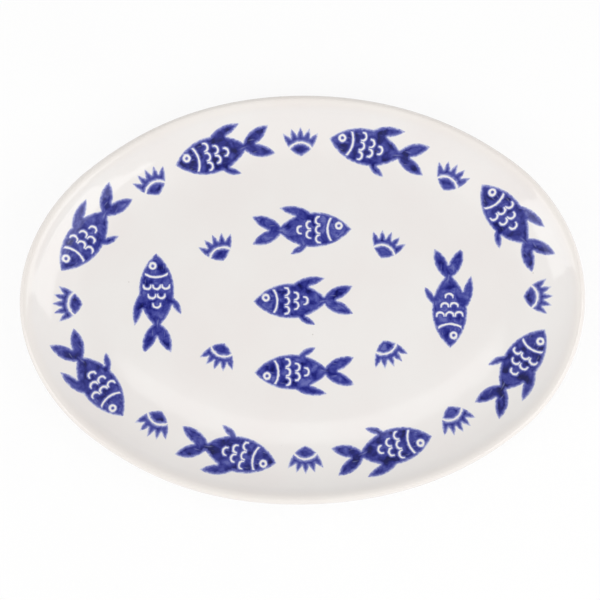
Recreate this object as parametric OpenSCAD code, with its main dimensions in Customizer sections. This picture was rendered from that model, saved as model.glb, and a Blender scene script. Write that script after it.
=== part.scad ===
// Oval coupe serving platter in glazed earthenware, with painted fish and shells.
// Lengths in millimetres. The foot stands on z = 0, x runs along the platter, z is up.

/* [Oval] */
// Overall length, lip to lip
length = 406; // [340:1:480]
// Overall width, lip to lip
width = 296; // [270:1:330]
// Overall height, table to lip
height = 32; // [27:0.5:40]

/* [Section] */
// Run of the curved wall, from the lip in to the flat floor
wall_run = 60; // [52:0.5:66]
// Thickness of the wall and floor with their glaze
wall_t = 6.5; // [5:0.1:8]
// Diameter of the rounded bead that ends the wall
bead_d = 7.6; // [7.2:0.1:9]

/* [Foot ring] */
// Distance of the foot's outer face in from the lip
foot_inset = 61; // [56:0.5:70]
// Width of the foot ring with its glaze
foot_w = 8; // [6:0.1:11]
// Height of the foot ring below the floor
foot_h = 4; // [3:0.1:6]
// Rounding of the foot's lower edges
foot_round = 1.2; // [0.5:0.1:1.5]
// Height of the band at the foot that is wiped free of glaze
bare_h = 1.6; // [1.5:0.1:2.5]

/* [Coats] */
// Thickness of the white glaze
glaze_t = 0.5; // [0.3:0.05:0.8]
// Thickness of the blue colour on the glaze
film_t = 0.15; // [0.1:0.01:0.25]
// Clearance under the blue colour, so that curved faces don't cut into one another
film_gap = 0.25; // [0.2:0.01:0.4]

/* [Rim ring of motifs] */
// Distance of the rim ring's middle line in from the lip
rim_line = 32; // [29:0.5:36]
// Fish in the rim ring, with as many shells between them
rim_count = 8; // [8]

/* [Well ring of motifs] */
// Distance of the well ring's middle line in from the lip
well_line = 96; // [90:0.5:102]
// Fish in the well ring, with as many shells between them
well_count = 4; // [4]

/* [Fish] */
// Length of a fish, nose to tail tips
fish_len = 73; // [60:0.5:78]
// Length of the body stroke
body_len = 55; // [46:0.5:60]
// Depth of the body stroke
body_h = 26; // [20:0.5:29]
// Length of each tail stroke
tail_len = 25; // [18:0.5:29]
// Width of each tail stroke
tail_w = 9.5; // [6:0.5:11]
// Length of the back fin stroke
back_fin_len = 26; // [18:0.5:29]
// Width of the back fin stroke
back_fin_w = 7.5; // [5:0.5:9]
// Length of the belly fin stroke
belly_fin_len = 15; // [10:0.5:18]
// Width of the belly fin stroke
belly_fin_w = 5.5; // [4:0.5:7]
// Radius of the white ring round the eye
eye_r = 2.6; // [2:0.1:3.2]
// Radius of a scale
scale_r = 3.4; // [2.5:0.1:4]
// Width of the white lines left between strokes of colour
line_w = 0.9; // [0.6:0.05:1.3]

/* [Shell] */
// Length of a shell's ribs, hinge to edge
shell_len = 21; // [15:0.5:24]
// Width of a shell's ribs
rib_w = 6; // [4:0.1:7]

/* [Hidden] */
$fn = 180;

clay_colour = "#D9C6A8";
glaze_colour = "#EEEBE7";
film_colour = "#3C3E98";

// Overrun of every cut past the face that it opens
overrun = 5;

// Oval of four arcs that meet without a corner, their centres on 3-4-5 triangles
half_len = length / 2;
half_wid = width / 2;
join_shares = [3 / 5, 4 / 5];
join_turn = atan2(join_shares[1], join_shares[0]);
arc_gap = (half_len - half_wid) / (join_shares[0] + join_shares[1] - 1);
end_x = arc_gap * join_shares[0];
side_y = arc_gap * join_shares[1];
end_r = half_len - end_x;
side_r = half_wid + side_y;

// Wall: one arc, tangent to the floor, whose middle line ends in the bead's centre
bead_r = bead_d / 2;
bead_z = height - bead_r;
floor_z = foot_h + wall_t;
arc_run = wall_run - bead_r;
arc_rise = bead_z - foot_h - wall_t / 2;
arc_mid_r = (arc_run * arc_run + arc_rise * arc_rise) / (2 * arc_rise);
arc_r = arc_mid_r - wall_t / 2;
arc_z = floor_z + arc_r;
lip_turn = asin(arc_run / arc_mid_r);

// Ring that the section is swept round, and the floor slab that closes it
foot_mid = foot_inset + foot_w / 2;
ring_depth = foot_inset + foot_w + wall_t;
slab_line = ring_depth - wall_t / 2;
slab_steps = 24;

// Fish: strokes placed along the body
tail_spread = 24;
tail_root = tail_len * cos(tail_spread) - fish_len / 2;
body_root = fish_len / 2 - body_len;
body_mid = body_root + body_len / 2;
body_arc_r = leaf_r(body_len, body_h);
back_fin_turn = 168;
belly_fin_turn = 208;
back_fin_share = 0.5;
belly_fin_share = 0.42;
fin_sink_share = 0.84;
eye_share = 0.83;
eye_rise_share = 0.1;
pupil_share = 0.55;
gill_share = 0.67;
gill_r_share = 0.6;
gill_r = gill_r_share * body_h;
gill_fill_share = 0.7;
scale_step = 2 * scale_r;
scale_cols = 5;
scale_rows = 3;
scale_start = body_root + gill_share * body_len - scale_step - 2 * line_w;

// Shell: ribs fanned out from the hinge
rib_count = 5;
rib_step = 19;
growth_share = 0.5;

// Radius of the two arcs that bound a leaf of length l and width w
function leaf_r(l, w) = (l * l + w * w) / (4 * w);

// Half depth of the fish's body at x
function body_half(x) = sqrt(max(0, body_arc_r * body_arc_r - (x - body_mid) * (x - body_mid)))
    - body_arc_r + body_h / 2;

// Radius and centre of the arc that the outline follows where its outward normal points to turn
function on_end(turn) = abs(cos(turn)) >= cos(join_turn);
function arc_radius(turn) = on_end(turn) ? end_r : side_r;
function arc_centre(turn) = on_end(turn) ? [sign(cos(turn)) * end_x, 0] : [0, -sign(sin(turn)) * side_y];

// Point of the oval that runs a set distance in from the lip
function oval_point(line, turn) =
    arc_centre(turn) + (arc_radius(turn) - line) * [cos(turn), sin(turn)];

// Lengths of a quarter's two arcs on that oval, and of the whole oval
function end_part(line) = (end_r - line) * join_turn * PI / 180;
function side_part(line) = (side_r - line) * (90 - join_turn) * PI / 180;
function oval_length(line) = 4 * (end_part(line) + side_part(line));

// Direction of the outward normal at a share of the way round, from the +x end
function turn_at(line, share) = turn_along(line, share * oval_length(line));
function turn_along(line, s) =
    let (e = end_part(line), f = side_part(line), q = e + f)
    s > 2 * q ? 180 + turn_along(line, s - 2 * q)
    : s <= e ? s / (end_r - line) * 180 / PI
    : s <= e + 2 * f ? join_turn + (s - e) / (side_r - line) * 180 / PI
    : 180 - join_turn + (s - e - 2 * f) / (end_r - line) * 180 / PI;

// Prism over the sector between an arc's two joins, with the arc's centre at its point
module sector(centre, along, across) {
    translate([0, 0, -overrun])
        linear_extrude(height + 2 * overrun)
            polygon([centre, centre + length * (along + across), centre + length * (along - across)]);
}

// Sweeps a section round the oval: x = 0 of the section runs along the outline
module sweep() {
    for (flip = [0, 180])
        rotate(flip) {
            intersection() {
                translate([end_x, 0])
                    rotate(180)
                        rotate_extrude()
                            translate([end_r, 0])
                                children();
                sector([end_x, 0], [join_shares[0], 0], [0, join_shares[1]]);
            }
            intersection() {
                translate([0, -side_y])
                    rotate_extrude()
                        translate([side_r, 0])
                            children();
                sector([0, -side_y], [0, join_shares[1]], [join_shares[0], 0]);
            }
        }
}

// Flat oval slab that fills the ring's middle
module slab(low, high) {
    translate([0, 0, low])
        linear_extrude(high - low)
            polygon([for (i = [0:slab_steps - 1]) oval_point(slab_line, 360 * i / slab_steps)]);
}

// Rectangle from one corner to the other
module box2(from, to) {
    translate(from)
        square(to - from);
}

// Band between two radii round the wall's centre, from the floor up to the lip
module wall_band(r_low, r_high) {
    reach = r_high + wall_t;
    translate([-wall_run, arc_z])
        intersection() {
            difference() {
                circle(r_high);
                circle(r_low);
            }
            polygon([
                [0, 0],
                [0, -reach],
                [reach * tan(lip_turn), -reach],
                [reach * sin(lip_turn), -reach * cos(lip_turn)]
            ]);
        }
}

// Foot ring's section, with its lower edges rounded
module foot_section(skin) {
    out = -foot_inset - skin;
    inn = -foot_inset - foot_w + skin;
    top = foot_h + wall_t / 2;
    box2([inn, foot_round], [out, top]);
    box2([inn + foot_round, 0], [out - foot_round, top]);
    for (x = [inn + foot_round, out - foot_round])
        translate([x, foot_round])
            circle(foot_round);
}

// Platter's section, with every glazed face set back by skin
module section(skin) {
    wall_band(arc_r + skin, arc_r + wall_t - skin);
    translate([-bead_r, bead_z])
        circle(bead_r - skin);
    box2([-ring_depth, foot_h + skin], [-wall_run, floor_z - skin]);
    foot_section(skin);
}

// Glaze's section, bare at the foot
module glaze_section() {
    difference() {
        section(0);
        section(glaze_t);
        box2([-ring_depth - overrun, -overrun], [overrun, bare_h]);
    }
}

// Part of the section inside the foot ring and under the floor
module under_floor() {
    box2([-ring_depth - overrun, -overrun], [-foot_mid, floor_z - wall_t / 2]);
}

module clay_body() {
    color(clay_colour)
        union() {
            sweep()
                section(glaze_t);
            slab(foot_h + glaze_t, floor_z - glaze_t);
        }
}

module glaze_coat() {
    color(glaze_colour)
        union() {
            sweep()
                difference() {
                    glaze_section();
                    under_floor();
                }
            slab(floor_z - glaze_t, floor_z);
        }
}

module base_glaze() {
    color(glaze_colour)
        union() {
            sweep()
                intersection() {
                    glaze_section();
                    under_floor();
                }
            slab(foot_h, foot_h + glaze_t);
        }
}

// Brush stroke pointed at both ends, from the origin along +x
module leaf(l, w) {
    r = leaf_r(l, w);
    intersection() {
        translate([l / 2, r - w / 2])
            circle(r);
        translate([l / 2, w / 2 - r])
            circle(r);
    }
}

// Thin white arc that bulges to -x, reaching up and down by half
module arc_line(r, half) {
    translate([r, 0])
        intersection() {
            difference() {
                circle(r);
                circle(r - line_w);
            }
            box2([-r - overrun, -half], [0, half]);
        }
}

// White ring round the eye
module eye() {
    difference() {
        circle(eye_r);
        circle(eye_r * pupil_share);
    }
}

// Rows of scales that fit between the gill and the tail
module scales() {
    for (i = [0:scale_cols - 1], j = [-scale_rows:scale_rows])
        let (x = scale_start - i * scale_step, y = (j + (i % 2) / 2) * scale_step)
            if (abs(y) + scale_r < body_half(x) - line_w)
                translate([x, y])
                    arc_line(scale_r, scale_r - line_w / 2);
}

// Fish seen from the side, nose to +x and back to +y
module fish() {
    back_x = body_root + back_fin_share * body_len;
    belly_x = body_root + belly_fin_share * body_len;
    gill_x = body_root + gill_share * body_len;
    eye_x = body_root + eye_share * body_len;
    difference() {
        union() {
            translate([body_root, 0])
                leaf(body_len, body_h);
            for (side = [-1, 1])
                translate([tail_root, 0])
                    rotate(180 + side * tail_spread)
                        leaf(tail_len, tail_w);
            translate([back_x, body_half(back_x) * fin_sink_share])
                rotate(back_fin_turn)
                    leaf(back_fin_len, back_fin_w);
            translate([belly_x, -body_half(belly_x) * fin_sink_share])
                rotate(belly_fin_turn)
                    leaf(belly_fin_len, belly_fin_w);
        }
        translate([eye_x, body_h * eye_rise_share])
            eye();
        translate([gill_x, 0])
            arc_line(gill_r, body_half(gill_x) * gill_fill_share);
        scales();
    }
}

// Shell with its hinge at -y, fanned out to +y
module shell() {
    translate([0, -shell_len / 2])
        rotate(90)
            difference() {
                for (i = [0:rib_count - 1])
                    rotate((i - (rib_count - 1) / 2) * rib_step)
                        leaf(shell_len, rib_w);
                rotate(180)
                    translate([-shell_len * growth_share, 0])
                        arc_line(shell_len * growth_share, shell_len * growth_share);
            }
}

// Thin layer over the whole inner face, that colour is laid in
module colour_layer() {
    film_top = film_gap + film_t;
    sweep() {
        wall_band(arc_r - film_top, arc_r - film_gap);
        box2([-ring_depth, floor_z + film_gap], [-wall_run, floor_z + film_top]);
    }
    slab(floor_z + film_gap, floor_z + film_top);
}

// A motif laid on the glaze
module film() {
    color(film_colour)
        intersection() {
            linear_extrude(height)
                children();
            colour_layer();
        }
}

// Sets a motif on an oval, a share of the way round, with its +y to the lip
module on_oval(line, share) {
    turn = turn_at(line, share);
    translate(oval_point(line, turn))
        rotate(turn - 90)
            children();
}

module rim_fish(i) {
    film()
        on_oval(rim_line, (i - 0.5) / rim_count)
            mirror([1, 0])
                fish();
}

module rim_shell(i) {
    film()
        on_oval(rim_line, (i - 1) / rim_count)
            shell();
}

module well_fish(i) {
    film()
        on_oval(well_line, (i - 1) / well_count)
            fish();
}

module well_shell(i) {
    film()
        on_oval(well_line, (i - 0.5) / well_count)
            shell();
}

module centre_fish() {
    film()
        mirror([1, 0])
            fish();
}

clay_body();
glaze_coat();
base_glaze();
for (i = [1:rim_count]) {
    rim_fish(i);
    rim_shell(i);
}
for (i = [1:well_count]) {
    well_fish(i);
    well_shell(i);
}
centre_fish();
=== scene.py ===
# %% [markdown]
# # An oval platter in glazed earthenware
# The real platter is one piece of buff clay. It was pressed over a mould, fired, dipped in white
# glaze, painted in cobalt blue and fired again. This lesson dresses it layer by layer, in the order
# in which the potter made it: clay, glaze, colour, and then the light of a plain studio.
# The construction model comes first and stays the fixed frame that every piece has to fit.

# %% Load the construction model
import itertools
import math

import bmesh
import bpy
import numpy as np
from mathutils import Matrix, Vector


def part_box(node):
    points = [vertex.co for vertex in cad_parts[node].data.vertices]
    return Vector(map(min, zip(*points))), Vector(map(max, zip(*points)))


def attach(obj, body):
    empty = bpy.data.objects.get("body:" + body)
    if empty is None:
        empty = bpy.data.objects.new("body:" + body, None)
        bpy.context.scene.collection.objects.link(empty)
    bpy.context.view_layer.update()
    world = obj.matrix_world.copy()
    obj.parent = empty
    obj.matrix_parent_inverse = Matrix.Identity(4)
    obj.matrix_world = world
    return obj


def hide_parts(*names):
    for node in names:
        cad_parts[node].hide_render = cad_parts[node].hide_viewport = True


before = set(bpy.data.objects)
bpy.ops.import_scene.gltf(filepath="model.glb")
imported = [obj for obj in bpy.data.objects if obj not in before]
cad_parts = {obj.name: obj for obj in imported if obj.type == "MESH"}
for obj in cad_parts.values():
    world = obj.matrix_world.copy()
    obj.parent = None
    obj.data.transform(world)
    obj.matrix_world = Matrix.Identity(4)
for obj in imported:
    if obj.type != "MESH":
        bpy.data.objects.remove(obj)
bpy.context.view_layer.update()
MM = 0.001
print("construction nodes:", len(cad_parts))

# %% [markdown]
# ## The sizes of the dish
# The outline is a potter's oval: four arcs that run into one another without a corner. The centres
# sit on 3-4-5 triangles, so two ends of one radius and two sides of another share exact joins.
# The wall is one hollow arc from the flat floor to a rounded bead at the lip.
# These are the sizes of the construction model, repeated here because a scene can't ask a solid
# for the radius of its arcs. The print shows that they give the same box.

# %% Sizes of the oval and its section
HALF_LEN, HALF_WID, HEIGHT = 203 * MM, 148 * MM, 32 * MM
WALL_RUN, WALL_T, BEAD_R = 60 * MM, 6.5 * MM, 3.8 * MM
FOOT_INSET, FOOT_W, FOOT_H, FOOT_ROUND = 61 * MM, 8 * MM, 4 * MM, 1.2 * MM
BARE_H, GLAZE_T = 1.6 * MM, 0.5 * MM

JOIN_COS, JOIN_SIN = 0.6, 0.8
JOIN_TURN = math.atan2(JOIN_SIN, JOIN_COS)
ARC_GAP = (HALF_LEN - HALF_WID) / (JOIN_COS + JOIN_SIN - 1)
END_X, SIDE_Y = ARC_GAP * JOIN_COS, ARC_GAP * JOIN_SIN
END_R, SIDE_R = HALF_LEN - END_X, HALF_WID + SIDE_Y

BEAD_Z = HEIGHT - BEAD_R
FLOOR_Z = FOOT_H + WALL_T
ARC_RUN, ARC_RISE = WALL_RUN - BEAD_R, BEAD_Z - FOOT_H - WALL_T / 2
ARC_MID_R = (ARC_RUN ** 2 + ARC_RISE ** 2) / (2 * ARC_RISE)
ARC_R = ARC_MID_R - WALL_T / 2
ARC_Z = FLOOR_Z + ARC_R
LIP_TURN = math.asin(ARC_RUN / ARC_MID_R)
RING_DEPTH = FOOT_INSET + FOOT_W + WALL_T


def inset_of(x, y):
    ax, ay = abs(x), abs(y)
    if ax > END_X and ay / (ax - END_X) <= JOIN_SIN / JOIN_COS:
        return END_R - math.hypot(ax - END_X, ay)
    return SIDE_R - math.hypot(ax, ay + SIDE_Y)


_, solid_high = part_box("glaze_coat")
off_box = [round((ours - theirs) / MM, 2) for ours, theirs in zip((HALF_LEN, HALF_WID, HEIGHT), solid_high)]
print("oval against the solid, mm:", off_box)

# %% [markdown]
# ## Drawing a section with the spin tool
# Every layer of the platter has the same kind of section: straight runs and arcs, drawn in the
# plane y = 0 at the +X end and measured in from the lip. A curve object could hold it, but arcs of
# an exact radius are easier with one vertex as the pen: extruding it draws a line, and spinning it
# about a point draws an arc.

# %% Pen strokes for a section
WALL_STEP, BEAD_STEP, FEWEST_STEPS = 1.3 * MM, 0.6 * MM, 2


def on_section(inset, z):
    return Vector((HALF_LEN - inset, 0, z))


def pen_down(bm, inset, z):
    return bmesh.ops.create_vert(bm, co=on_section(inset, z))["vert"][0]


def line_to(bm, tip, inset, z):
    tip = bmesh.ops.extrude_vert_indiv(bm, verts=[tip])["verts"][0]
    tip.co = on_section(inset, z)
    return tip


def arc_about(bm, tip, inset, z, turn, step):
    centre = on_section(inset, z)
    steps = max(FEWEST_STEPS, round(abs(turn) * (tip.co - centre).length / step))
    made = bmesh.ops.spin(bm, geom=[tip], cent=centre, axis=(0, 1, 0), angle=turn, steps=steps)
    return next(part for part in made["geom_last"] if isinstance(part, bmesh.types.BMVert))


print("wall arc radius, mm:", round(ARC_R / MM, 1))
print("turn of the arc up to the lip, degrees:", round(math.degrees(LIP_TURN), 1))

# %% [markdown]
# The bead is a round bar along the end of the wall. Its circle meets the wall's two faces at a
# neck, and the angles of that neck come from the triangle between the two centres and the meeting
# point. One stroke then draws wall, bead and outside; the skin says how far inside the glaze it is.

# %% The stroke over the wall and the bead
def neck(wall_r, bead_r):
    at_bead = math.acos((ARC_MID_R ** 2 + bead_r ** 2 - wall_r ** 2) / (2 * ARC_MID_R * bead_r))
    at_wall = math.acos((ARC_MID_R ** 2 + wall_r ** 2 - bead_r ** 2) / (2 * ARC_MID_R * wall_r))
    return at_bead, at_wall


def over_the_wall(bm, tip, skin):
    bead_r = BEAD_R - skin
    bead_in, wall_in = neck(ARC_R + skin, bead_r)
    bead_out, wall_out = neck(ARC_R + WALL_T - skin, bead_r)
    tip = arc_about(bm, tip, WALL_RUN, ARC_Z, wall_in - LIP_TURN, WALL_STEP)
    inner_neck = tip.co.copy()
    tip = arc_about(bm, tip, BEAD_R, BEAD_Z, math.tau - bead_out + bead_in, BEAD_STEP)
    outer_neck = tip.co.copy()
    tip = arc_about(bm, tip, WALL_RUN, ARC_Z, LIP_TURN - wall_out, WALL_STEP)
    return tip, (inner_neck, outer_neck)


neck_turns = [round(math.degrees(neck(wall_r, BEAD_R)[0])) for wall_r in (ARC_R, ARC_R + WALL_T)]
print("inner and outer neck, degrees round the bead:", neck_turns)

# %% [markdown]
# ## Sweeping the section round the oval
# On the bench a template is dragged round the mould. Here the section is spun about the centre of
# each arc in turn, and the last copy of one spin is the first of the next. Merging the doubles
# closes the ring. The middle is closed by extruding the inner edge and shrinking it, ring by ring,
# which keeps the faces even where a single large face would shade badly.

# %% Sweep and floor
SWEEP_STEP, FLOOR_RINGS = 3 * MM, 14
WELD, SAME_LEVEL, INNER_SLACK = 0.02 * MM, GLAZE_T / 4, 1 * MM
ARCS = (
    ((END_X, 0, 0), JOIN_TURN, END_R),
    ((0, -SIDE_Y, 0), math.pi - 2 * JOIN_TURN, SIDE_R),
    ((-END_X, 0, 0), 2 * JOIN_TURN, END_R),
    ((0, SIDE_Y, 0), math.pi - 2 * JOIN_TURN, SIDE_R),
    ((END_X, 0, 0), JOIN_TURN, END_R),
)


def sweep(bm):
    section = bm.verts[:] + bm.edges[:]
    for centre, turn, radius in ARCS:
        steps = round(turn * radius / SWEEP_STEP)
        made = bmesh.ops.spin(bm, geom=section, cent=centre, axis=(0, 0, 1), angle=turn, steps=steps)
        section = made["geom_last"]
    bmesh.ops.remove_doubles(bm, verts=bm.verts[:], dist=WELD)


def close_middle(bm, z):
    inner = HALF_LEN - RING_DEPTH + INNER_SLACK
    edge = [e for e in bm.edges if e.is_boundary
            and all(abs(v.co.z - z) < SAME_LEVEL and abs(v.co.x) < inner for v in e.verts)]
    for ring in range(FLOOR_RINGS, 1, -1):
        made = bmesh.ops.extrude_edge_only(bm, edges=edge)["geom"]
        moved = [part for part in made if isinstance(part, bmesh.types.BMVert)]
        edge = [part for part in made if isinstance(part, bmesh.types.BMEdge) and part.is_boundary]
        shrink = (ring - 1) / ring
        bmesh.ops.scale(bm, vec=(shrink, shrink, 1), verts=moved)
    made = bmesh.ops.contextual_create(bm, geom=edge)["faces"]
    bmesh.ops.poke(bm, faces=made)


print("length round the lip, mm:", round(sum(turn * radius for _, turn, radius in ARCS) / MM))

# %% [markdown]
# ## The hand in the shape
# A pressed dish is never quite true. Its faces roll by a tenth or two of a millimetre, with small
# dents all over and closer ones up the wall, which the eye only meets as a waver in the
# reflections, and its lip wanders by about a millimetre. The floor sags a little in the kiln, and
# no edge marks where the cove begins: the bend of the clay grows evenly into that of the arc.
# A displacement texture could do this, but one function gives it at any place, so that the clay,
# the glaze and the colour ride on the same unevenness. A wave has a way across the dish, the
# length of one radian and a start, and the dents up the wall drift with the roll and the ripple.

# %% Unevenness of a pressed slab
ROLL, RIPPLE, DIMPLE, WALL_DENT = 0.16 * MM, 0.07 * MM, 0.05 * MM, 0.07 * MM
SAG, EASE, LIP_WANDER = 1.4 * MM, 24 * MM, 0.7 * MM
ROLL_WAVES = ((1, 0), 34 * MM, 0.7), ((0, 1), 29 * MM, math.pi / 2 - 0.4)
RIPPLE_WAVE = (1, 1.7), 41 * MM, 1.9
DIMPLE_WAVES = ((0.8, 0.6), 9 * MM), ((-0.5, 0.87), 11 * MM)
DENT_WAVES, DENT_DRIFT = (((0.9, -0.44), 5 * MM), ((0.6, 0.8), 6 * MM)), 2


def wave(x, y, way, length, start=0):
    return math.sin((way[0] * x + way[1] * y) / length + start)


def smooth_step(share):
    return share * share * (3 - 2 * share)


def ease_of_cove(climb):
    if climb <= -EASE:
        return 0
    if climb < EASE:
        return ((climb + EASE) ** 3 / (12 * EASE) - max(0, climb) ** 2 / 2) / ARC_R
    left = max(0, 1 - (climb - EASE) / (ARC_RUN - EASE))
    return EASE ** 2 / (6 * ARC_R) * smooth_step(left)


def roll_of_face(x, y):
    roll = wave(x, y, *ROLL_WAVES[0]) * wave(x, y, *ROLL_WAVES[1])
    ripple = wave(x, y, *RIPPLE_WAVE)
    dimple = wave(x, y, *DIMPLE_WAVES[0]) * wave(x, y, *DIMPLE_WAVES[1])
    dent = wave(x, y, *DENT_WAVES[0], DENT_DRIFT * roll) * wave(x, y, *DENT_WAVES[1], DENT_DRIFT * ripple)
    climb = WALL_RUN - inset_of(x, y)
    up_wall = min(1, max(0, climb / EASE))
    uneven = ROLL * roll + RIPPLE * ripple + DIMPLE * dimple + WALL_DENT * up_wall * dent
    middle = max(0, 1 - (x / (HALF_LEN - WALL_RUN)) ** 2 - (y / (HALF_WID - WALL_RUN)) ** 2)
    return uneven + ease_of_cove(climb) - SAG * smooth_step(middle)


print("face at the middle, mm off the flat:", round(roll_of_face(0, 0) / MM, 3))

# %% [markdown]
# The lip's wander is a sum of waves round the oval, each with a count, a share and a start. It
# grows from nothing at the floor to its full size at the lip, as clay leans more the higher it
# stands. The roll of the faces fades out at the foot, which was ground flat.

# %% The hand on a whole layer
LIP_WAVES = (6, 1, math.pi / 2), (5, 0.6, -1.1), (3, 0.4, -2.5)


def wander_of_lip(turn):
    return LIP_WANDER * sum(share * math.sin(count * turn + start) for count, share, start in LIP_WAVES)


def press_by_hand(bm):
    for v in bm.verts:
        x, y, z = v.co
        rise = min(1, max(0, (z - FOOT_H) / (FLOOR_Z - FOOT_H)))
        v.co.z += rise * roll_of_face(x, y)
        turn = math.atan2(y / HALF_WID, x / HALF_LEN)
        lean = wander_of_lip(turn) * max(0, (z - FLOOR_Z) / (HEIGHT - FLOOR_Z))
        v.co.x += lean * math.cos(turn)
        v.co.y += lean * math.sin(turn)


wanders = [wander_of_lip(math.radians(degree)) / MM for degree in range(360)]
print("wander of the lip, mm:", round(min(wanders), 2), "to", round(max(wanders), 2))

# %% [markdown]
# A finished bmesh becomes an object that sits at the origin and rides on the platter's only body,
# and the solid that it stands for is hidden.

# %% From bmesh to piece
CREASE = math.radians(35)


def make_piece(bm, name, node):
    bmesh.ops.recalc_face_normals(bm, faces=bm.faces[:])
    mesh = bpy.data.meshes.new(name)
    bm.to_mesh(mesh)
    bm.free()
    mesh.shade_smooth()
    mesh.set_sharp_from_angle(angle=CREASE)
    piece = bpy.data.objects.new(name, mesh)
    bpy.context.scene.collection.objects.link(piece)
    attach(piece, "root")
    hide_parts(node)
    print(name, "faces:", len(mesh.polygons))
    return piece


# %% [markdown]
# ## The clay
# The body is a closed form under the glaze: floor, wall, bead, and the foot ring that carries it
# all. Only the foot's lower edge shows, where the glaze was wiped off before the firing so that
# the platter wouldn't stick to the kiln shelf. A plain ring would show as much, but the body is
# made whole, by the same strokes, so that its mesh is that of a real dish.

# %% Clay body
FOOT_STEP = BEAD_STEP / 2


def foot_stroke(bm, tip, skin):
    out, inn = FOOT_INSET + skin, FOOT_INSET + FOOT_W - skin
    tip = line_to(bm, tip, out, FOOT_H + skin)
    tip = line_to(bm, tip, out, FOOT_ROUND)
    tip = arc_about(bm, tip, out + FOOT_ROUND, FOOT_ROUND, math.pi / 2, FOOT_STEP)
    tip = line_to(bm, tip, inn - FOOT_ROUND, 0)
    tip = arc_about(bm, tip, inn - FOOT_ROUND, FOOT_ROUND, math.pi / 2, FOOT_STEP)
    tip = line_to(bm, tip, inn, FOOT_H + skin)
    return line_to(bm, tip, RING_DEPTH, FOOT_H + skin)


bm = bmesh.new()
tip = pen_down(bm, RING_DEPTH, FLOOR_Z - GLAZE_T)
tip = line_to(bm, tip, WALL_RUN, FLOOR_Z - GLAZE_T)
tip, _ = over_the_wall(bm, tip, GLAZE_T)
foot_stroke(bm, tip, GLAZE_T)
sweep(bm)
close_middle(bm, FLOOR_Z - GLAZE_T)
close_middle(bm, FOOT_H + GLAZE_T)
press_by_hand(bm)
clay = make_piece(bm, "pressed_clay_body", "clay_body")

# %% [markdown]
# ## The white glaze
# The glaze is half a millimetre of glass over everything but the foot. It fills the crease where
# the bead meets the wall, so the neck is smoothed before the sweep. The coat is drawn as its outer
# face alone, and a Solidify modifier gives it its thickness inwards, down to the clay.

# %% Glaze over the dish
NECK_REACH, NECK_PASSES = 4.5 * MM, 24
BEHIND_FACE, BEFORE_FACE = -1, 1


def soften(bm, corner):
    near = [v for v in bm.verts if (v.co - corner).length < NECK_REACH]
    for _ in range(NECK_PASSES):
        bmesh.ops.smooth_vert(bm, verts=near, factor=0.5,
                              use_axis_x=True, use_axis_y=True, use_axis_z=True)


def give_coat(piece, side):
    coat = piece.modifiers.new("coat", "SOLIDIFY")
    coat.thickness = GLAZE_T
    coat.offset = side


bm = bmesh.new()
tip = pen_down(bm, RING_DEPTH, FLOOR_Z)
tip = line_to(bm, tip, WALL_RUN, FLOOR_Z)
tip, necks = over_the_wall(bm, tip, 0)
for corner in necks:
    soften(bm, corner)
tip = line_to(bm, tip, FOOT_INSET, FOOT_H)
line_to(bm, tip, FOOT_INSET, BARE_H)
sweep(bm)
close_middle(bm, FLOOR_Z)
press_by_hand(bm)
glaze = make_piece(bm, "white_glaze_over_dish", "glaze_coat")
give_coat(glaze, BEHIND_FACE)

# %% [markdown]
# Inside the foot ring the underside has a coat of its own, from the wiped line on the foot up to
# the base and across it. It lies too low for the hand to have moved it. Recalculated normals point
# away from the middle of a piece, which on this open cup is into the clay, so the coat gets its
# thickness on the other side of its drawn face.

# %% Glaze under the base
bm = bmesh.new()
tip = pen_down(bm, FOOT_INSET + FOOT_W, BARE_H)
tip = line_to(bm, tip, FOOT_INSET + FOOT_W, FOOT_H)
line_to(bm, tip, RING_DEPTH, FOOT_H)
sweep(bm)
close_middle(bm, FOOT_H)
under = make_piece(bm, "white_glaze_under_base", "base_glaze")
give_coat(under, BEFORE_FACE)

# %% [markdown]
# ## The cobalt fish and shells
# Each mark was laid on the raw glaze with a loaded brush. It could be a texture, but then it would
# have no piece of its own. So one fish and one shell are copied from the upper faces of their
# solids and laid flat as patterns. Knife cuts with bisect_plane make their faces small enough to
# bend over the wall.

# %% Cutting flat patterns from two solids
RIM_LINE, WELL_LINE = 32 * MM, 96 * MM
CUT_STEP, KNIFE_SNAP, FINE_WELD = 0.9 * MM, 0.005 * MM, 0.001 * MM
UPWARD = 0.4


def flat_pattern(node, middle):
    bm = bmesh.new()
    bm.from_mesh(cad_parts[node].data)
    bmesh.ops.remove_doubles(bm, verts=bm.verts[:], dist=FINE_WELD)
    bmesh.ops.delete(bm, geom=[f for f in bm.faces if f.normal.z < UPWARD], context="FACES")
    bmesh.ops.scale(bm, vec=(1, 1, 0), verts=bm.verts[:])
    bmesh.ops.translate(bm, vec=-middle, verts=bm.verts[:])
    return bm


def knife_grid(bm):
    for axis, across in ((0, Vector((1, 0, 0))), (1, Vector((0, 1, 0)))):
        places = [v.co[axis] for v in bm.verts]
        for cut in np.arange(min(places) + CUT_STEP, max(places), CUT_STEP):
            bmesh.ops.bisect_plane(bm, geom=bm.verts[:] + bm.edges[:] + bm.faces[:],
                                   plane_co=cut * across, plane_no=across, dist=KNIFE_SNAP)


fish_pattern = flat_pattern("centre_fish", Vector((0, 0, 0)))
shell_pattern = flat_pattern("rim_shell_3", Vector((0, HALF_WID - RIM_LINE, 0)))
for pattern in (fish_pattern, shell_pattern):
    knife_grid(pattern)
    print("faces of the pattern:", len(pattern.faces))

# %% [markdown]
# The firing lets the edge of a mark bleed. How far each vertex lies from that edge could be painted
# as weights, but measuring it is exact, and the colour reads it later for its bleed. Lines left
# open inside a mark, and small dots, keep a crisper edge, so from them the distance counts for more.
# The place of a vertex on the flat pattern is stored as well, because the strokes of the brush turn
# with the mark.

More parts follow.
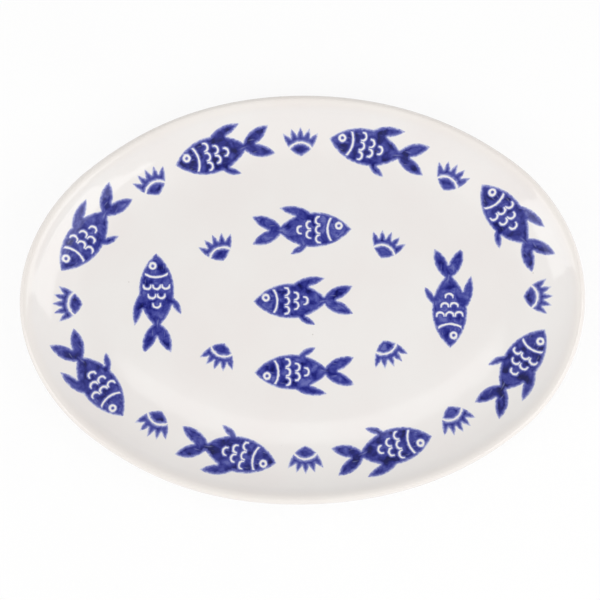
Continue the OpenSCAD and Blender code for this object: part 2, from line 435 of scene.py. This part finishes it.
# %% Distance to the edge of a mark
LINE_SHARPNESS = 1.8
DOT_AREA, NO_LENGTH = 20 * MM * MM, 1e-18


def edge_rings(bm):
    left = {e for e in bm.edges if e.is_boundary}
    while left:
        ring, reach = [], [left.pop()]
        while reach:
            edge = reach.pop()
            ring.append(edge)
            near = left.intersection(e for v in edge.verts for e in v.link_edges)
            left -= near
            reach.extend(near)
        yield ring


def store_edge_distance(bm):
    layer = bm.verts.layers.float.new("edge_mm")
    rim, sharpness = [], []
    for ring in edge_rings(bm):
        loops = [edge.link_loops[0] for edge in ring]
        sides = [(loop.vert.co.xy, loop.link_loop_next.vert.co.xy) for loop in loops]
        area = sum(a.cross(b) for a, b in sides) / 2
        rim += sides
        sharpness += [LINE_SHARPNESS if area < DOT_AREA else 1] * len(sides)
    rim = np.array(rim)
    start, along = rim[:, 0], rim[:, 1] - rim[:, 0]
    length2 = (along ** 2).sum(1) + NO_LENGTH
    for v in bm.verts:
        here = np.array(v.co.xy) - start
        share = np.clip((here * along).sum(1) / length2, 0, 1)
        off = here - share[:, None] * along
        v[layer] = (np.hypot(*off.T) * sharpness).min() / MM
    print("widest half stroke, mm:", round(max(v[layer] for v in bm.verts), 1))


def store_brush_place(bm):
    layer = bm.verts.layers.float_vector.new("brush_place")
    for v in bm.verts:
        v[layer] = v.co
    bm.verts.layers.float.new("brush_load")


for pattern in (fish_pattern, shell_pattern):
    store_edge_distance(pattern)
    store_brush_place(pattern)

# %% [markdown]
# The marks stand in two rings, evenly spaced along an oval that runs a set distance in from the
# lip, with their backs to the lip. A curve with a Follow Path constraint could space them, but the
# oval is made of arcs, so a share of its length gives the turn and the place by plain sums.

# %% Places on the oval
def turn_on_oval(line, share):
    end, side = (END_R - line) * JOIN_TURN, (SIDE_R - line) * (math.pi / 2 - JOIN_TURN)
    half, along = divmod(share * 4 * (end + side), 2 * (end + side))
    if along <= end:
        turn = along / (END_R - line)
    elif along <= end + 2 * side:
        turn = JOIN_TURN + (along - end) / (SIDE_R - line)
    else:
        turn = math.pi - JOIN_TURN + (along - end - 2 * side) / (END_R - line)
    return half * math.pi + turn


def place_on_oval(line, turn):
    out = Vector((math.cos(turn), math.sin(turn), 0))
    if abs(out.x) >= JOIN_COS:
        return Vector((math.copysign(END_X, out.x), 0, 0)) + (END_R - line) * out
    return Vector((0, -math.copysign(SIDE_Y, out.y), 0)) + (SIDE_R - line) * out


def inner_face(x, y):
    climb = max(0, WALL_RUN - inset_of(x, y))
    return ARC_Z - math.sqrt(ARC_R ** 2 - climb ** 2)


print("inner face at the middle and half way up the wall, mm:",
      round(inner_face(0, 0) / MM, 2), round(inner_face(HALF_LEN - WALL_RUN / 2, 0) / MM, 2))

# %% [markdown]
# A copy of a pattern is turned and moved to its place, each vertex is dropped on the inner face of
# the glaze, and the same hand presses it as the glaze. Extruding the sheet by a hair gives the film
# a thickness. The brush is dipped for one mark and runs lighter over the next few, and it was
# fuller for the rim than for the well, so each mark also carries how full the brush was.

# %% Laying the marks on the glaze
RIM_COUNT, WELL_COUNT = 8, 4
FILM_UNDER, FILM_OVER = 0.03 * MM, 0.06 * MM
BRUSH_LOADS = itertools.cycle((0.75, 0.55, 0.4, 0.6, 0.35))
RIM_EXTRA, WELL_EXTRA = 0.22, -0.15


def lay_mark(node, pattern, line=None, share=0, faces_other_way=False):
    bm = pattern.copy()
    load = next(BRUSH_LOADS) + (RIM_EXTRA if line == RIM_LINE else WELL_EXTRA)
    load_layer = bm.verts.layers.float["brush_load"]
    for v in bm.verts:
        v[load_layer] = load
    if faces_other_way:
        bmesh.ops.scale(bm, vec=(-1, 1, 1), verts=bm.verts[:])
    if line:
        turn = turn_on_oval(line, share)
        bmesh.ops.rotate(bm, matrix=Matrix.Rotation(turn - math.pi / 2, 3, "Z"), verts=bm.verts[:])
        bmesh.ops.translate(bm, vec=place_on_oval(line, turn), verts=bm.verts[:])
    for v in bm.verts:
        v.co.z = inner_face(v.co.x, v.co.y)
    press_by_hand(bm)
    bmesh.ops.translate(bm, vec=(0, 0, -FILM_UNDER), verts=bm.verts[:])
    made = bmesh.ops.extrude_face_region(bm, geom=bm.faces[:], use_keep_orig=True)["geom"]
    lifted = [part for part in made if isinstance(part, bmesh.types.BMVert)]
    bmesh.ops.translate(bm, vec=(0, 0, FILM_UNDER + FILM_OVER), verts=lifted)
    return make_piece(bm, "painted_" + node, node)


marks = [lay_mark("centre_fish", fish_pattern)]
for i in range(1, RIM_COUNT + 1):
    marks.append(lay_mark(f"rim_fish_{i}", fish_pattern, RIM_LINE, (i - 0.5) / RIM_COUNT))
    marks.append(lay_mark(f"rim_shell_{i}", shell_pattern, RIM_LINE, (i - 1) / RIM_COUNT))
for i in range(1, WELL_COUNT + 1):
    marks.append(lay_mark(f"well_fish_{i}", fish_pattern, WELL_LINE, (i - 1) / WELL_COUNT,
                          faces_other_way=True))
    marks.append(lay_mark(f"well_shell_{i}", shell_pattern, WELL_LINE, (i - 0.5) / WELL_COUNT))
fish_pattern.free()
shell_pattern.free()

# %% [markdown]
# Each mark has to lie where its solid lies, or the two models would disagree. Their boxes, seen
# from above, are compared before anything is coloured.

# %% Are the marks where their solids are?
off_place = 0
for mark in marks:
    solid_low, solid_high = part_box(mark.name.removeprefix("painted_"))
    corners = [v.co for v in mark.data.vertices]
    for axis in (0, 1):
        off_place = max(off_place, abs(min(c[axis] for c in corners) - solid_low[axis]),
                        abs(max(c[axis] for c in corners) - solid_high[axis]))
print("marks laid:", len(marks), " furthest off its solid, mm:", round(off_place / MM, 2))

# %% [markdown]
# ## Finishes
# Colours are written as the hex values that a picture editor shows, and one function turns them
# into the linear values that Blender mixes. One more function adds a node with its settings and
# links. Patterns are sized in millimetres: a noise of scale 1 / size has blots of about that size.

# %% Colour and node helpers
def hex_colour(code):
    parts = [int(code[i:i + 2], 16) / 255 for i in (1, 3, 5)]
    return (*[p / 12.92 if p <= 0.04045 else ((p + 0.055) / 1.055) ** 2.4 for p in parts], 1)


def add_node(tree, kind, links=None, stops=None, **settings):
    node = tree.nodes.new(kind)
    for name, value in settings.items():
        setattr(node, name, value)
    if stops:
        ramp = node.color_ramp.elements
        while len(ramp) < len(stops):
            ramp.new(1)
        for element, (place, code) in zip(ramp, stops):
            element.position, element.color = place, hex_colour(code)
    for name, value in (links or {}).items():
        if isinstance(value, bpy.types.NodeSocket):
            tree.links.new(value, node.inputs[name])
        else:
            node.inputs[name].default_value = value
    return node


def new_finish(name):
    finish = bpy.data.materials.new(name)
    finish.use_nodes = True
    tree = finish.node_tree
    tree.nodes.clear()
    place = add_node(tree, "ShaderNodeTexCoord").outputs["Object"]
    return finish, tree, place


print("middle grey in linear light:", [round(c, 3) for c in hex_colour("#808080")[:3]])

# %% [markdown]
# ### Biscuit earthenware
# The foot is bare clay, fired once to biscuit: a warm buff, dry and matt, with fine grit and a
# slightly darker bloom where the kiln shelf and years of tables have rubbed it. The grit is drawn
# coarser than real grit, or it wouldn't show.

# %% Biscuit earthenware
BLOOM_SIZE, GRIT_SIZE, GRIT_DEPTH = 14 * MM, 0.9 * MM, 0.1 * MM
FLECK_SHARE = 0.6

biscuit, tree, place = new_finish("biscuit_earthenware_wiped")
bloom = add_node(tree, "ShaderNodeTexNoise", {"Vector": place, "Scale": 1 / BLOOM_SIZE, "Detail": 4})
grit = add_node(tree, "ShaderNodeTexNoise", {"Vector": place, "Scale": 1 / GRIT_SIZE, "Detail": 3})
tone = add_node(tree, "ShaderNodeValToRGB", {"Fac": bloom.outputs["Fac"]},
                stops=((0.3, "#C4AB87"), (0.55, "#D9C6A8"), (0.8, "#E2D3BA")))
fleck = add_node(tree, "ShaderNodeValToRGB", {"Fac": grit.outputs["Fac"]},
                 stops=((0.3, "#B49A78"), (0.42, "#FFFFFF")))
clay_tone = add_node(tree, "ShaderNodeMix", {
    "Factor": FLECK_SHARE, "A": tone.outputs["Color"], "B": fleck.outputs["Color"],
}, data_type="RGBA", blend_type="MULTIPLY")
tooth = add_node(tree, "ShaderNodeBump", {
    "Height": grit.outputs["Fac"], "Strength": 0.5, "Distance": GRIT_DEPTH})
body = add_node(tree, "ShaderNodeBsdfPrincipled", {
    "Base Color": clay_tone.outputs["Result"], "Roughness": 0.85, "IOR": 1.5,
    "Normal": tooth.outputs["Normal"]})
add_node(tree, "ShaderNodeOutputMaterial", {"Surface": body.outputs["BSDF"]})
clay.data.materials.append(biscuit)
print("finish:", biscuit.name)

# %% [markdown]
# ### The skin of a fired glaze
# White glaze and blue colour melt into one glass, so both have the same skin: very smooth, a little
# duller in places, with the faint pebble of orange peel. It is written once and used by both.

# %% Skin of a fired glaze
PEEL_SIZE, PEEL_DEPTH = 5 * MM, 0.03 * MM
SMOOTHEST, DULLEST = 0.03, 0.08


def glassy_skin(tree, place, colour, patches, ior):
    peel = add_node(tree, "ShaderNodeTexNoise", {"Vector": place, "Scale": 1 / PEEL_SIZE, "Detail": 1})
    pebble = add_node(tree, "ShaderNodeBump", {
        "Height": peel.outputs["Fac"], "Strength": 0.5, "Distance": PEEL_DEPTH})
    gloss = add_node(tree, "ShaderNodeMapRange", {"Value": patches, "To Min": SMOOTHEST, "To Max": DULLEST})
    skin = add_node(tree, "ShaderNodeBsdfPrincipled", {
        "Base Color": colour, "Roughness": gloss.outputs["Result"], "IOR": ior,
        "Normal": pebble.outputs["Normal"]})
    add_node(tree, "ShaderNodeOutputMaterial", {"Surface": skin.outputs["BSDF"]})


print("roughness of the glaze:", SMOOTHEST, "to", DULLEST)

# %% [markdown]
# ### White tin glaze
# A dipped glaze is glass made white with tin: a little warm, and never one flat white, because its
# tone drifts in wide clouds. It is thinner and warmer on the bead, where it ran off in the fire,
# and here and there it holds a dark speck of iron.

# %% White tin glaze
CLOUD_SIZE, LIP_BAND, LIP_WARMTH = 55 * MM, 4.5 * MM, 0.3
SPECK_SPACING, SPECK_CORE, SPECK_EDGE, SPECK_SHARE = 26 * MM, 0.208 * MM, 0.52 * MM, 0.55
TIN_GLAZE_IOR = 1.52

tin_glaze, tree, place = new_finish("white_tin_glaze_dipped")
cloud = add_node(tree, "ShaderNodeTexNoise", {"Vector": place, "Scale": 1 / CLOUD_SIZE, "Detail": 3})
white = add_node(tree, "ShaderNodeValToRGB", {"Fac": cloud.outputs["Fac"]},
                 stops=((0.3, "#EDE8E5"), (0.5, "#EEEAE7"), (0.7, "#EFECE9")))
height = add_node(tree, "ShaderNodeSeparateXYZ", {"Vector": place}).outputs["Z"]
thin = add_node(tree, "ShaderNodeMapRange", {
    "Value": height, "From Min": HEIGHT - LIP_BAND, "From Max": HEIGHT, "To Max": LIP_WARMTH})
warm_lip = add_node(tree, "ShaderNodeMix", {
    "Factor": thin.outputs["Result"], "A": white.outputs["Color"], "B": hex_colour("#EAE0D5"),
}, data_type="RGBA")
speck_cells = add_node(tree, "ShaderNodeTexVoronoi", {
    "Vector": place, "Scale": 1 / SPECK_SPACING, "Randomness": 1})
speck = add_node(tree, "ShaderNodeMapRange", {
    "Value": speck_cells.outputs["Distance"], "From Min": SPECK_CORE / SPECK_SPACING,
    "From Max": SPECK_EDGE / SPECK_SPACING, "To Min": SPECK_SHARE, "To Max": 0})
glaze_tone = add_node(tree, "ShaderNodeMix", {
    "Factor": speck.outputs["Result"], "A": warm_lip.outputs["Result"], "B": hex_colour("#8F8378"),
}, data_type="RGBA")
glassy_skin(tree, place, glaze_tone.outputs["Result"], cloud.outputs["Fac"], TIN_GLAZE_IOR)
for piece in (glaze, under):
    piece.data.materials.append(tin_glaze)
print("finish:", tin_glaze.name)

# %% [markdown]
# ### Cobalt in the glaze
# Cobalt is painted on thin and melts into the glaze, so it has the same gloss. Its edge is frayed
# by the pores of the raw glaze and bleeds to a pale lavender over two to three millimetres. The
# widths here are in millimetres because the stored distance is.

# %% The bleeding edge of the blue
FRAY_SIZE, FRAY_MM, BLEED_MM = 2.6 * MM, 0.55, 2.8
NOISE_LOW, NOISE_HIGH = 0.3, 0.7

cobalt, tree, place = new_finish("cobalt_blue_in_glaze")
edge = add_node(tree, "ShaderNodeAttribute", attribute_name="edge_mm").outputs["Fac"]
pores = add_node(tree, "ShaderNodeTexNoise", {
    "Vector": place, "Scale": 1 / FRAY_SIZE, "Detail": 3, "Roughness": 0.65})
fray = add_node(tree, "ShaderNodeMapRange", {
    "Value": pores.outputs["Fac"], "From Min": NOISE_LOW, "From Max": NOISE_HIGH,
    "To Min": -FRAY_MM, "To Max": FRAY_MM})
ragged = add_node(tree, "ShaderNodeMath", {0: edge, 1: fray.outputs["Result"]}, operation="ADD")
bleed = add_node(tree, "ShaderNodeMapRange", {
    "Value": ragged.outputs["Value"], "From Min": 0, "From Max": BLEED_MM})
halo = add_node(tree, "ShaderNodeValToRGB", {"Fac": bleed.outputs["Result"]}, stops=(
    (0.0, "#D3D5E5"), (0.16, "#A9ACD3"), (0.34, "#757AB9"), (0.55, "#565BA5"),
    (0.75, "#414597"), (0.9, "#35398A"), (1.0, "#313585")))
print("bleed of the edge, mm:", BLEED_MM)

# %% [markdown]
# Inside the mark the blue pools to navy in soft blots, deeper where the brush was full. Where the
# brush ran dry it leaves paler streaks along the mark, long in the way of the stroke and narrow
# across it. The two meet the bleeding edge over a millimetre.

# %% Blots and streaks of the blue
BLOT_SIZE, LOAD_SWING = 7 * MM, 0.1
STREAK_LENGTH, STREAK_WIDTH = 10 * MM, 2.2 * MM
DRY_FROM, DRY_FULL, DRY_SHARE = 0.58, 0.8, 0.45
POOL_FROM_MM, POOL_FULL_MM = 1.9, 2.9
COBALT_IOR = 1.42

blots = add_node(tree, "ShaderNodeTexNoise", {
    "Vector": place, "Scale": 1 / BLOT_SIZE, "Detail": 3, "Roughness": 0.5, "Distortion": 0.4})
full = add_node(tree, "ShaderNodeAttribute", attribute_name="brush_load").outputs["Fac"]
extra = add_node(tree, "ShaderNodeMapRange", {"Value": full, "To Min": -LOAD_SWING, "To Max": LOAD_SWING})
laid = add_node(tree, "ShaderNodeMath", {
    0: blots.outputs["Fac"], 1: extra.outputs["Result"]}, operation="ADD")
pool = add_node(tree, "ShaderNodeValToRGB", {"Fac": laid.outputs["Value"]}, stops=(
    (0.3, "#686DB1"), (0.41, "#484D9E"), (0.51, "#32368B"), (0.6, "#1D2177"), (0.72, "#090D50")))
stroke = add_node(tree, "ShaderNodeAttribute", attribute_name="brush_place").outputs["Vector"]
drawn_out = add_node(tree, "ShaderNodeMapping", {
    "Vector": stroke, "Scale": (1 / STREAK_LENGTH, 1 / STREAK_WIDTH, 1)})
streaks = add_node(tree, "ShaderNodeTexNoise", {
    "Vector": drawn_out.outputs["Vector"], "Scale": 1, "Detail": 1})
dry = add_node(tree, "ShaderNodeMapRange", {
    "Value": streaks.outputs["Fac"], "From Min": DRY_FROM, "From Max": DRY_FULL, "To Max": DRY_SHARE,
}, interpolation_type="SMOOTHSTEP")
brushed = add_node(tree, "ShaderNodeMix", {
    "Factor": dry.outputs["Result"], "A": pool.outputs["Color"], "B": hex_colour("#8D92C4"),
}, data_type="RGBA")
inside = add_node(tree, "ShaderNodeMapRange", {
    "Value": ragged.outputs["Value"], "From Min": POOL_FROM_MM, "From Max": POOL_FULL_MM,
}, interpolation_type="SMOOTHSTEP")
blue = add_node(tree, "ShaderNodeMix", {
    "Factor": inside.outputs["Result"], "A": halo.outputs["Color"], "B": brushed.outputs["Result"],
}, data_type="RGBA")
glassy_skin(tree, place, blue.outputs["Result"], blots.outputs["Fac"], COBALT_IOR)
for mark in marks:
    mark.data.materials.append(cobalt)
print("finish:", cobalt.name, "on", len(marks), "marks")

# %% [markdown]
# ## The studio
# The platter lies on a pale floor and is seen almost from straight above through a long lens.
# The floor is white paper. To the camera most of it glows at the strength of plain white, so that
# the background is white without more light on the dish, and the rest of it keeps the shadow.
# Away from the dish the glow grows to full white, so the paper has no edge or horizon.

# %% Floor
FLOOR_HALF, FLOOR_CELLS, FIBRE_SIZE = 3.0, 4, 90 * MM
PAPER_GLOW = 0.88
SHADOW_REACH, WHITE_FROM = 0.3, 0.9
PLAIN_WHITE = hex_colour("#FFFFFF")

bm = bmesh.new()
bmesh.ops.create_grid(bm, x_segments=FLOOR_CELLS, y_segments=FLOOR_CELLS, size=FLOOR_HALF)
mesh = bpy.data.meshes.new("paper_floor")
bm.to_mesh(mesh)
bm.free()
floor = bpy.data.objects.new("paper_floor", mesh)
bpy.context.scene.collection.objects.link(floor)

paper, tree, place = new_finish("white_paper_floor")
seen = add_node(tree, "ShaderNodeLightPath").outputs["Is Camera Ray"]
from_dish = add_node(tree, "ShaderNodeVectorMath", {0: place}, operation="LENGTH")
white_share = add_node(tree, "ShaderNodeMapRange", {
    "Value": from_dish.outputs["Value"], "From Min": SHADOW_REACH, "From Max": WHITE_FROM,
    "To Min": PAPER_GLOW, "To Max": 1})
share = add_node(tree, "ShaderNodeMath", {0: seen, 1: white_share.outputs["Result"]}, operation="MULTIPLY")
fibre = add_node(tree, "ShaderNodeTexNoise", {"Vector": place, "Scale": 1 / FIBRE_SIZE})
sheet = add_node(tree, "ShaderNodeValToRGB", {"Fac": fibre.outputs["Fac"]},
                 stops=((0.3, "#F4F3F2"), (0.7, "#F8F8F7")))
matt = add_node(tree, "ShaderNodeBsdfDiffuse", {"Color": sheet.outputs["Color"]})
glow = add_node(tree, "ShaderNodeEmission", {"Color": PLAIN_WHITE, "Strength": 1})
mixed = add_node(tree, "ShaderNodeMixShader", {
    0: share.outputs["Value"], 1: matt.outputs["BSDF"], 2: glow.outputs["Emission"]})
add_node(tree, "ShaderNodeOutputMaterial", {"Surface": mixed.outputs["Shader"]})
floor.data.materials.append(paper)
print("floor, m:", [round(d, 2) for d in floor.dimensions])

# %% [markdown]
# Two large softboxes stand in front to the left and right, about forty degrees up. Their
# reflections are the long bright patches high on the far wall. Each is given by its way from the
# dish, its width and height in metres and its watts.

# %% Softboxes
LIGHT_AWAY = 1.3
SOFTBOXES = (
    ("softbox_right", (0.652, -0.332, 0.682), (1.15, 0.77), 4.75),
    ("softbox_left", (-0.733, -0.342, 0.588), (0.68, 0.8), 2.95),
)

for name, way, size, watts in SOFTBOXES:
    lamp = bpy.data.lights.new(name, "AREA")
    lamp.shape = "RECTANGLE"
    lamp.size, lamp.size_y = size
    lamp.energy = watts
    stand = bpy.data.objects.new(name, lamp)
    stand.location = Vector(way).normalized() * LIGHT_AWAY
    stand.rotation_euler = Vector(way).to_track_quat("Z", "Y").to_euler()
    stand.visible_camera = False
    bpy.context.scene.collection.objects.link(stand)
print("lights:", [name for name, *_ in SOFTBOXES])

# %% [markdown]
# White walls fill the rest of the room. They are darker behind than in front, of one level near the
# floor and brightest at the two sides. Straight above it is dark, as in a studio, so that the flat
# of the well mirrors little and the blue stays deep. A round glow on the ceiling, a little to the
# back, has soft edges that a lamp wouldn't have, and it draws the faint arc in the near cove.
# A picture of a room could light the dish as well, but it couldn't be tuned part by part. Here each
# part says which measure of the heading finds it, where it starts, where it is full, and its light,
# and it is laid over the parts before it.

# %% Room
FRONT_LIGHT = 0.79
GLOW_WAY = Vector((-0.02, 0.275, 1)).normalized()
GLOW_EDGE, GLOW_CORE = math.cos(math.radians(10.5)), math.cos(math.radians(4.5))

world = bpy.data.worlds.new("pale_room")
world.use_nodes = True
tree = world.node_tree
tree.nodes.clear()
way_out = add_node(tree, "ShaderNodeTexCoord").outputs["Generated"]
heading = add_node(tree, "ShaderNodeSeparateXYZ", {"Vector": way_out}).outputs
aside = add_node(tree, "ShaderNodeMath", {0: heading["X"]}, operation="ABSOLUTE").outputs["Value"]
to_glow = add_node(tree, "ShaderNodeVectorMath", {0: way_out, 1: GLOW_WAY}, operation="DOT_PRODUCT")
ROOM_PARTS = (
    ("wall behind", heading["Y"], 0.1, 0.9, 0.53, "LINEAR"),
    ("near the floor", heading["Z"], 0.5, 0.05, 0.58, "LINEAR"),
    ("side walls", aside, 0.4, 0.9, 1.06, "LINEAR"),
    ("ceiling", heading["Z"], 0.9, 0.97, 0.2, "LINEAR"),
    ("glow on the ceiling", to_glow.outputs["Value"], GLOW_EDGE, GLOW_CORE, 1.75, "SMOOTHSTEP"),
)
light = FRONT_LIGHT
for part, measure, start, full, level, easing in ROOM_PARTS:
    light = add_node(tree, "ShaderNodeMapRange", {
        "Value": measure, "From Min": start, "From Max": full, "To Min": light, "To Max": level,
    }, interpolation_type=easing).outputs["Result"]
    print("light of the room,", part, level)

seen = add_node(tree, "ShaderNodeLightPath").outputs["Is Camera Ray"]
strength = add_node(tree, "ShaderNodeMapRange", {"Value": seen, "To Min": light, "To Max": 1})
room = add_node(tree, "ShaderNodeBackground", {
    "Color": PLAIN_WHITE, "Strength": strength.outputs["Result"]})
add_node(tree, "ShaderNodeOutputWorld", {"Surface": room.outputs["Background"]})
bpy.context.scene.world = world
bpy.context.scene.view_settings.view_transform = "Standard"

# %% [markdown]
# The camera looks down from just in front of upright. A small roll tips the long axis by the
# degree or so that the photograph shows, and the distance follows from the lens and the width
# of the frame at the lip.

# %% Camera
LENS, SENSOR = 100, 36
FRAME_WIDTH = 435.5 * MM
ELEVATION, ROLL_BACK = math.radians(87), math.radians(-0.9)
AIM_X, AIM_HEIGHT_SHARE = -2.2 * MM, 0.6

camera_data = bpy.data.cameras.new("studio_camera")
camera_data.lens, camera_data.sensor_width = LENS, SENSOR
camera = bpy.data.objects.new("studio_camera", camera_data)
target = Vector((AIM_X, 0, HEIGHT * AIM_HEIGHT_SHARE))
away = Vector((0, -math.cos(ELEVATION), math.sin(ELEVATION)))
camera.location = target + away * (FRAME_WIDTH * LENS / SENSOR)
camera.rotation_euler = (-away).to_track_quat("-Z", "Y").to_euler()
camera.rotation_euler.rotate_axis("Z", ROLL_BACK)
bpy.context.scene.collection.objects.link(camera)
bpy.context.scene.camera = camera
print("camera, m:", [round(c, 3) for c in camera.location])
